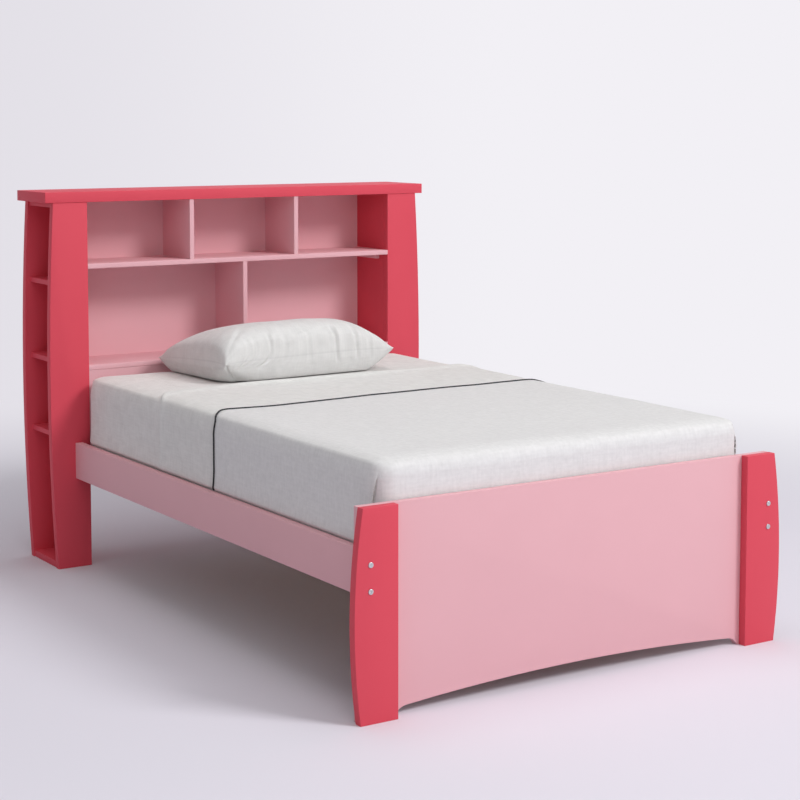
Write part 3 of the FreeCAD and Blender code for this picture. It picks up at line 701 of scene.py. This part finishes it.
def cut(obj, place, normal):
    """Cuts a piece by a plane and drops what lies on the normal's side."""
    pick(obj)
    bpy.ops.object.mode_set(mode="EDIT")
    bpy.ops.mesh.select_all(action="SELECT")
    bpy.ops.mesh.bisect(plane_co=place, plane_no=normal, clear_outer=True, use_fill=False)
    bpy.ops.object.mode_set(mode="OBJECT")


# mm back from the edge, and mm up
FOLD = ((0, 1), (3, 5), (7, 8.5), (12, 10), (19, 10.2), (27, 8.8), (37, 6.6), (48, 5), (62, 4.2),
        (110, 3.8), (250, 3.2), (370, 0))


def fold_over(obj, edge):
    """The turned-down end is double cloth over a soft roll, so it stands up from what lies under it."""
    pick(obj)
    bpy.ops.object.mode_set(mode="EDIT")
    for back, _ in FOLD[1:-1]:
        bpy.ops.mesh.select_all(action="SELECT")
        bpy.ops.mesh.bisect(plane_co=(0, edge[0] - back * MM, 0), plane_no=(0, 1, 0))
    bpy.ops.object.mode_set(mode="OBJECT")
    for vert, normal in [(vert, vert.normal.copy()) for vert in obj.data.vertices]:
        over = max(0, min(1, (vert.co.z - RAIL_TOP) / (25 * MM)))
        level = max(0.6, normal.z ** 3)       # less on the upright sides
        vert.co += normal * level_on(FOLD, (edge[0] - vert.co.y) / MM) * MM * level * over


def layer(name, grow, thickness, hem, edge=None, corners=False, fold=False):
    """A cloth at its own height over the form, cut at its hem and, where it has one, its head edge."""
    obj = soft_box(name, 104, grow)
    cut(obj, (0, 0, hem), (0, 0, -1))
    if edge:
        straight = edge[0]
        cut(obj, (0, straight, 0), (0, 1, 0))
        if fold:
            fold_over(obj, edge)
        for vert in obj.data.vertices:
            near = max(0, 1 - (straight - vert.co.y) / SLIDE_REACH)
            vert.co.y += (head_edge(edge, vert.co) - straight) * near ** 2 * (3 - 2 * near)
    if corners:
        for side in (-1, 1):
            corner_flap(obj, side)
    shell = obj.modifiers.new("cloth", "SOLIDIFY")
    shell.thickness = thickness
    shell.offset = -1
    return obj


# a head edge's place along the bed on the sides, and its points over the top
SHEET_EDGE = (267 * MM, [(-600 * MM, 330 * MM), (-270 * MM, 392 * MM), (613 * MM, 362 * MM),
                         (655 * MM, 316 * MM)])
BLANKET_EDGE = (-141 * MM, [(-618 * MM, -102 * MM), (246 * MM, -64 * MM), (411 * MM, -75 * MM),
                            (648 * MM, -84 * MM)])
fitted = layer("fitted_sheet_cloth", 1.4 * MM, 1.0 * MM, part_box("fitted_sheet")[0].z)
top_sheet = layer("top_sheet_cloth", 3.0 * MM, 1.6 * MM, HEM, SHEET_EDGE, fold=True)
blanket = layer("blanket_cloth", 5.0 * MM, 1.6 * MM, HEM, BLANKET_EDGE, corners=True)

# %% [markdown]
# Each layer gets its thickness, its thread map and its finish. The sheet also stores how far each
# point is from the blanket's edge, for the two rows of stitches.

# %% Finish the layers
distance = top_sheet.data.attributes.new("from_edge", "FLOAT", "POINT")
for vert, value in zip(top_sheet.data.vertices, distance.data):
    value.value = vert.co.y - head_edge(BLANKET_EDGE, vert.co)
for cloth, material, slot, node in (
        (fitted, fitted_cotton, "white_cotton_sheet", "fitted_sheet"),
        (top_sheet, sheet_cotton, "white_cotton_sheet", "top_sheet"),
        (blanket, blanket_cotton, "white_brushed_blanket", "blanket")):
    apply_modifiers(cloth)
    thread_map(cloth)
    smooth(cloth)
    dress(cloth, material, slot, node)

# %% [markdown]
# ## The piping
# A dark cord is sewn along the blanket's head edge. Its points come from the same rules as that edge,
# the form and the head edge's line, and are turned into a curve with a round section.


# %% Piping along the blanket's edge
def cloth_edge_points(edge, grow):
    """Points up one side, over the top and down the other, on the form, at a head edge."""
    flat = (edge[0] - MID_Y) / HALF_L
    side, top = 46, 90                       # points up a side, and over the top
    section = [(-1.0, n / side * 2 - 1) for n in range(side)]
    section += [(n / top * 2 - 1, 1.0) for n in range(top + 1)]
    section += [(1.0, n / side * 2 - 1) for n in reversed(range(side))]
    points = []
    for x, z in section:
        place = on_form(Vector((spaced(x), flat, spaced(z))), grow)
        place.y = head_edge(edge, place)
        if place.z > RAIL_TOP + 1.5 * MM:
            points.append(place)
    return points


edge_points = cloth_edge_points(BLANKET_EDGE, 5.2 * MM)
curve = bpy.data.curves.new("piping_cord", "CURVE")
curve.dimensions = "3D"
spline = curve.splines.new("POLY")
spline.points.add(len(edge_points) - 1)
for point, place in zip(spline.points, edge_points):
    point.co = (*place, 1)
curve.bevel_depth = 3.7 * MM
curve.bevel_resolution = 3
curve.use_fill_caps = True
cord = bpy.data.objects.new("piping_cord", curve)
bpy.context.collection.objects.link(cord)
pick(cord)
bpy.ops.object.convert(target="MESH")
cord = bpy.context.object
thread_map(cord)
smooth(cord)
dress(cord, piping_cotton, "charcoal_cotton_piping", "blanket_piping")
print("piping", round(sum((a - b).length for a, b in zip(edge_points, edge_points[1:])), 3), "m")

# %% [markdown]
# ## The pillow
# A pillowcase is two flat pieces sewn together all round. Stuffing it crowns the two pieces, and the
# seam, now too long for the form, puckers into gathers, with the four corners left as points.
# So a flat bag is made first, and its shape is kept as the one that the cloth wants to have. Then it
# is set to a stuffed form with its seam drawn in, and a cloth simulation finds where the spare cloth
# goes. The seam is held, so the gathers spread along it instead of running into one deep dart.

# %% A flat pillowcase
CASE_L, CASE_W = 0.90, 0.57                  # the flat bag
SEAM_L, SEAM_W = 0.712, 0.468                # where the seam lies once it is stuffed
HALF_FULL = 98 * MM                          # from the seam to the crown on either side


def flat_bag(across, along):
    bpy.ops.object.select_all(action="DESELECT")
    bpy.ops.mesh.primitive_grid_add(x_subdivisions=across, y_subdivisions=along, size=2)
    obj = bpy.context.object
    obj.name = obj.data.name = "pillow_case"
    bpy.ops.object.mode_set(mode="EDIT")
    bpy.ops.mesh.select_all(action="SELECT")
    bpy.ops.mesh.duplicate_move(TRANSFORM_OT_translate={"value": (0, 0, -1)})
    bpy.ops.object.mode_set(mode="OBJECT")
    for vert in obj.data.vertices:
        at_seam = max(abs(vert.co.x), abs(vert.co.y)) > 0.9999
        vert.co.z = 0 if at_seam else (1 if vert.co.z > -0.5 else -1)
    bpy.ops.object.mode_set(mode="EDIT")
    bpy.ops.mesh.select_all(action="SELECT")
    bpy.ops.mesh.remove_doubles(threshold=1e-5)
    bpy.ops.mesh.normals_make_consistent(inside=False)
    bpy.ops.object.mode_set(mode="OBJECT")
    return obj


def on_seam(u, v):
    """The stuffed pillow's plan: its sides pull in between the corners."""
    return u * SEAM_L / 2 * (1 - 0.025 * (1 - v * v)), v * SEAM_W / 2 * (1 - 0.03 * (1 - u * u))


def to_edges(u, v):
    return (1 - abs(u)) * SEAM_L / 2, (1 - abs(v)) * SEAM_W / 2


def fullness(u, v):
    """0 at the seam and 1 at the fullest: a steep left end and front, and long slopes right and back."""
    end = (1 - abs(u) ** 6) ** 0.38 if u < 0 else (1 - u**2.53) ** 0.84
    front = (1 - abs(v) ** 3) ** (0.355 if v < 0 else 0.894)
    return end * front * min(1, sum(to_edges(u, v)) / 0.06) ** 0.3


def stuffed(u, v, side):
    """The form to start from: crowned, with a small seeded ripple at the seam."""
    place = Vector((*on_seam(u, v), side * HALF_FULL * fullness(u, v)))
    to_end, to_front = to_edges(u, v)
    along_front = noise.noise(Vector((place.x * 28, 3.3 + side * 5, math.copysign(4, v))))
    along_end = noise.noise(Vector((7.7 + side * 5, place.y * 30, math.copysign(4, u))))
    ripple = 1.3 * along_front * math.exp(-(to_front / 0.1) ** 2)
    ripple += along_end * math.exp(-(to_end / 0.09) ** 2)
    place.z += side * (12 if side > 0 else 5) * MM * ripple * min(1, min(to_end, to_front) / (20 * MM))
    if side == 0:
        place.z += 1.5 * MM * noise.noise(Vector((place.x * 20, place.y * 20, 1.0)))
    return place


case = flat_bag(110, 74)
plan = [vert.co.copy() for vert in case.data.vertices]
seam_distance = case.data.attributes.new("from_edge", "FLOAT", "POINT")
for at, value in zip(plan, seam_distance.data):
    value.value = min((1 - abs(at.x)) * CASE_L, (1 - abs(at.y)) * CASE_W) / 2
while case.data.uv_layers:
    case.data.uv_layers.remove(case.data.uv_layers[0])
threads = case.data.uv_layers.new(name="threads")
for corner, uv in zip(case.data.loops, threads.data):
    at = plan[corner.vertex_index]
    uv.uv = (at.x * CASE_L / 2, at.y * CASE_W / 2)
for vert, at in zip(case.data.vertices, plan):
    vert.co = stuffed(at.x, at.y, at.z)
seam = case.vertex_groups.new(name="seam")
seam.add([i for i, at in enumerate(plan) if at.z == 0], 1.0, "REPLACE")
print("pillowcase", len(plan), "points,", sum(at.z == 0 for at in plan), "on the seam")


# %% Stuff it
def stuff(obj, frames=14):
    obj.shape_key_add(name="stuffed")
    wants = obj.shape_key_add(name="flat")
    for point, at in zip(wants.data, plan):
        point.co = (at.x * CASE_L / 2, at.y * CASE_W / 2, at.z * 2 * MM)
    cloth = obj.modifiers.new("stuffing", "CLOTH").settings
    cloth.quality, cloth.mass = 6, 0.3
    cloth.tension_stiffness = cloth.compression_stiffness = 20
    cloth.shear_stiffness, cloth.bending_stiffness = 5, 0.03
    cloth.use_pressure, cloth.uniform_pressure_force = True, 4
    cloth.effector_weights.gravity = 0
    cloth.rest_shape_key = wants
    cloth.vertex_group_mass = "seam"
    for number in range(1, frames + 1):
        bpy.context.scene.frame_set(number)
    pick(obj)
    bpy.ops.object.convert(target="MESH")
    bpy.context.scene.frame_set(1)


def gathers(obj, rounds):
    """What the simulation added at each point: how far it lies from a smoothed copy of the form."""
    mesh = obj.data
    places = [vert.co.copy() for vert in mesh.vertices]
    near = [[] for _ in places]
    for edge in mesh.edges:
        a, b = edge.vertices
        near[a].append(b)
        near[b].append(a)
    even = places
    for _ in range(rounds):
        even = [sum((even[j] for j in js), Vector()) / len(js) for js in near]
    return [(place - calm) * min(1, max(0, abs(place.z) / 0.03)) for place, calm in zip(places, even)]


stuff(case)
folds = gathers(case, 14)
print("deepest gather", round(max(fold.length for fold in folds) / MM, 1), "mm")

# %% [markdown]
# The pillow's own weight flattens the lower half: below the seam the sides stand nearly upright and
# the underside lies on the sheet. It lies a little askew, with its left end sunk lower, so each
# corner has its own small shift. The gathers that the simulation found are laid on that form.

# %% Lay it on the bed
SEAM_UP, CREST_UP = 75.5 * MM, 193.3 * MM
CENTRE = (19 * MM, 661 * MM)
# how far each corner lies from its place on an even pillow, in mm
CORNERS = {(-1, -1): (-16.5, -25, -7.5), (1, -1): (8.4, 15.2, 2.5),
           (-1, 1): (-57, -26.4, -26), (1, 1): (20, 0, -8)}
# where along the pillow its crest rises or dips, over what width, and by how many mm
CREST = ((0.42, 0.25, 5), (0.72, 0.2, 7), (0.3, 0.14, -4), (-0.42, 0.2, 3))
# how far in the underside starts, as a share of the half size, at the left or front and at the other side
INSET_ENDS, INSET_FRONT = (0.058, 0.31), (0.103, 0.263)
SIDE_SHARE = 0.3                             # of the lower half's plan that stands up as its sides
bed_top = CROWN + 3.4 * MM


def under(t, inset):
    """One coordinate of the lower half: round at the left and front, straight in at the right and back."""
    part = min(1, (1 - abs(t)) / SIDE_SHARE)
    bulge, low = 1 - math.cos(math.pi / 2 * part), math.sin(math.pi / 2 * part)
    if t > 0:
        bulge, low = part ** 1.1, part
    if part == 1:
        bulge = 1 + (1 / inset[t > 0] - 1) * (1 - abs(t) / (1 - SIDE_SHARE))
    return math.copysign(1 - inset[t > 0] * bulge, t), low


def round_in(a, b, share):
    """Draws a corner of the plan in: share is 0 for a square corner and 0.5 for a circle's."""
    if share < 0.01:
        return a, b
    even = min(abs(a), abs(b)) / max(abs(a), abs(b), 1e-6)
    keep = (1 + even ** (1 / share)) ** -share
    return a * keep, b * keep


def laid(u, v, side):
    """Where a point of the plan lies once the pillow is on the bed, rounder at its front left corner."""
    round_off = 0.32 * (1 - u) / 2 * (1 - v) / 2 * min(1, (1 - max(abs(u), abs(v))) / 0.24)
    if side >= 0:
        x, y = on_seam(*round_in(u, v, 0.2 * round_off))
        up = SEAM_UP + fullness(u, v) * (CREST_UP - SEAM_UP) * (1 + 0.015 * u) * (1 - 0.249 * v)
        for where, width, more in CREST:
            up += more * MM * math.exp(-(((u - where) / width) ** 2)) * (1 - abs(v) ** 3)
    else:
        (a, low_end), (b, low_front) = under(u, INSET_ENDS), under(v, INSET_FRONT)
        x, y = on_seam(*round_in(a, b, round_off))
        up = SEAM_UP * min(1, ((1 - low_end) ** 3 + (1 - low_front) ** 3) ** (1 / 3))
    shift = Vector()
    for (i, j), move in CORNERS.items():
        shift += Vector(move) * (1 + i * u) * (1 + j * v) / 4 * MM
    shift.z *= min(1, up / SEAM_UP)
    return Vector((CENTRE[0] + x, CENTRE[1] + y, bed_top + up)) + shift


for vert, at, fold in zip(case.data.vertices, plan, folds):
    depth = 0.6 - 0.25 * min(1, sum(to_edges(at.x, at.y)) / 0.25) if at.z > 0 else 0.2
    depth *= 1 - math.exp(-((at.x + 1) ** 2 + (at.y + 1) ** 2) / 0.16)       # smooth at the front left
    vert.co = laid(at.x, at.y, at.z)
    vert.co += fold * depth * min(1, (vert.co.z - bed_top) / (30 * MM))
    vert.co.z = max(vert.co.z, bed_top)

# %% [markdown]
# Along the front the spare cloth stands in upright tucks that cross the seam. Each one is a groove
# with a low ridge on either side: where it is along the seam, how far it leans, its width, depth and
# height, in mm.

# %% Tucks across the front seam
TUCKS = ((-252, -0.35, 8, 5, 70), (-226, -0.5, 10, 4, 90), (-165, -0.2, 6, 14, 42),
         (-104, -0.15, 11, 3.6, 80), (-6, -0.3, 8, 6, 80), (108, -0.3, 7, 18, 58),
         (150, -0.3, 20, 4.5, 140), (194, -0.2, 6.5, 17, 50), (250, -0.2, 10, 4.5, 60))
for vert, normal in [(vert, vert.normal.copy()) for vert in case.data.vertices]:
    at = plan[vert.index]
    if at.y > 0:
        continue
    along, up = at.x * SEAM_L / 2 / MM, (1 - abs(at.y)) * CASE_W / 2 / MM
    turn, reach, share = (-1, 0.4, 0.6) if at.z < 0 else (1, 1, 1)       # shorter and shallower below
    for where, lean, width, depth, height in TUCKS:
        t = up / (height * reach)
        if t < 1:
            off = (along - where - lean * turn * up) / (width * (0.7 + t))
            groove = math.exp(-off * off) - 0.3 * math.exp(-((abs(off) - 1.9) ** 2))
            fade = (1 - t) ** 1.5 * (0.6 + 2.4 * t) * max(0, min(1, (vert.co.z - bed_top) / (45 * MM)))
            vert.co -= normal * MM * depth * groove * fade * share
finer = case.modifiers.new("finer", "SUBSURF")
finer.levels = finer.render_levels = 1
apply_modifiers(case)
smooth(case)
dress(case, pillow_cotton, "white_cotton_pillowcase", "pillow")
spans = [[vert.co[i] for vert in case.data.vertices] for i in range(3)]
print("pillow", [round(max(span) - min(span), 3) for span in spans])

# %% [markdown]
# ## Floor, light and camera

# The backdrop is a pale grey lilac, with painted shade that makes it a shade deeper on the left, away from
# the main lamp. The world and the far floor show it by the same rule, from the direction that a point lies
# in, so no horizon line is seen. The floor near the bed is a matt surface that takes the shadow, and it fades
# into the backdrop further out.

# %% Backdrop
BACKDROP_PAINTED_SHADE_LEFT, BACKDROP_RIGHT = "#E3E0E7", "#F2F0F5"
CAMERA_AT = (-3.3439, -5.3226, 1.6588)
YAW, PITCH = 32.71, 4.75


def smooth_step(tree, value, low, high):
    step = add_node(tree, "ShaderNodeMapRange",
                    {"interpolation_type": "SMOOTHSTEP", "From Min": low, "From Max": high}, {"Value": value})
    return step.outputs[0]


def backdrop_colour(tree, direction):
    # Painted shade: the colour turns from the lighter right to the deeper left by the direction a point lies
    # in.
    rightwards = (math.cos(math.radians(YAW)), -math.sin(math.radians(YAW)), 0)
    level = add_node(tree, "ShaderNodeVectorMath", {"operation": "MULTIPLY", 1: (1, 1, 0)}, {0: direction})
    level = add_node(tree, "ShaderNodeVectorMath", {"operation": "NORMALIZE"}, {0: level.outputs[0]})
    side = add_node(tree, "ShaderNodeVectorMath", {"operation": "DOT_PRODUCT", 1: rightwards},
                    {0: level.outputs[0]})
    part = smooth_step(tree, side.outputs["Value"], -0.24, 0.08)
    return two_tone(tree, part, BACKDROP_PAINTED_SHADE_LEFT, BACKDROP_RIGHT)


def seen_rays(tree):
    """1 for what the camera, a mirror or a glass sees, and 0 for rays that only carry light."""
    rays = add_node(tree, "ShaderNodeLightPath")
    seen = rays.outputs["Is Camera Ray"]
    for other in ("Is Glossy Ray", "Is Transmission Ray"):
        seen = calculate(tree, "MAXIMUM", seen, rays.outputs[other])
    return seen


# %% Floor
FLOOR_FADES = (1.9, 4.8)                     # from and to, in metres from the bed's middle


def pale_floor():
    bpy.ops.object.select_all(action="DESELECT")
    bpy.ops.mesh.primitive_plane_add(size=80)
    floor = bpy.context.object
    floor.name = "studio_floor"
    material, tree, shader, where = new_material(
        "matt_studio_floor", {"Base Color": linear("#E3E0EA"), "Roughness": 0.9, "Specular IOR Level": 0.1})
    distance = add_node(tree, "ShaderNodeVectorMath", {"operation": "LENGTH"}, {0: where})
    far = smooth_step(tree, distance.outputs["Value"], *FLOOR_FADES)
    part = calculate(tree, "MULTIPLY", far, seen_rays(tree))
    outwards = add_node(tree, "ShaderNodeVectorMath", {"operation": "SUBTRACT", 1: CAMERA_AT}, {0: where})
    colour = backdrop_colour(tree, outwards.outputs[0])
    glow = add_node(tree, "ShaderNodeEmission", {"Strength": 1.0}, {"Color": colour})
    blend = add_node(tree, "ShaderNodeMixShader", links={0: part, 1: shader.outputs[0], 2: glow.outputs[0]})
    out = next(n for n in tree.nodes if n.bl_idname == "ShaderNodeOutputMaterial")
    tree.links.new(blend.outputs[0], out.inputs["Surface"])
    floor.data.materials.append(material)


pale_floor()


# %% World
def studio_world(strength):
    world = bpy.data.worlds.new("studio")
    bpy.context.scene.world = world
    world.use_nodes = True
    tree = world.node_tree
    tree.nodes.clear()
    direction = add_node(tree, "ShaderNodeTexCoord").outputs["Generated"]
    room = add_node(tree, "ShaderNodeBackground", {"Color": linear("#FCFBFC"), "Strength": strength})
    backdrop = add_node(tree, "ShaderNodeBackground", {"Strength": 1.0},
                        {"Color": backdrop_colour(tree, direction)})
    blend = add_node(tree, "ShaderNodeMixShader",
                     links={0: seen_rays(tree), 1: room.outputs[0], 2: backdrop.outputs[0]})
    add_node(tree, "ShaderNodeOutputWorld", links={"Surface": blend.outputs[0]})


studio_world(0.31)


# %% Lamps
def soft_lamp(name, place, target, size, power):
    data = bpy.data.lights.new(name, "AREA")
    data.shape = "DISK"
    data.size = size
    data.energy = power
    lamp = bpy.data.objects.new(name, data)
    bpy.context.collection.objects.link(lamp)
    lamp.location = place
    lamp.rotation_euler = (Vector(target) - Vector(place)).to_track_quat("-Z", "Y").to_euler()
    return lamp


# The main soft box stands to the right in front, a weaker one to the left, and a third hangs above.
# For each: its turn and rise in degrees, its distance and size in metres, and its power in watts.
AIM = Vector((0, -0.3, 0.5))
LAMPS = {"main_box": (29, 39, 14, 4.6, 1085), "fill_box": (-21, 30, 14, 6.5, 222),
         "overhead_box": (0, 90, 9, 7.5, 240)}
for name, (turn, rise, away, size, power) in LAMPS.items():
    turn, rise = math.radians(turn), math.radians(rise)
    towards = Vector((math.sin(turn) * math.cos(rise), -math.cos(turn) * math.cos(rise), math.sin(rise)))
    soft_lamp(name, AIM + towards * away, AIM, size, power)

# %% Camera
LENS_PX, PICTURE_PX, SENSOR_MM = 1840.6, 800, 36
SHIFT = (0.0136, -0.165)
camera_data = bpy.data.cameras.new("camera")
camera = bpy.data.objects.new("camera", camera_data)
bpy.context.collection.objects.link(camera)
camera_data.sensor_width = SENSOR_MM
camera_data.lens = LENS_PX / PICTURE_PX * SENSOR_MM
camera_data.shift_x, camera_data.shift_y = SHIFT
camera.location = CAMERA_AT
yaw, pitch = math.radians(YAW), math.radians(PITCH)
forward = Vector((math.sin(yaw), math.cos(yaw), 0)) * math.cos(pitch) - Vector((0, 0, math.sin(pitch)))
camera.rotation_euler = forward.to_track_quat("-Z", "Y").to_euler()
bpy.context.scene.camera = camera
bpy.context.scene.view_settings.view_transform = "Standard"
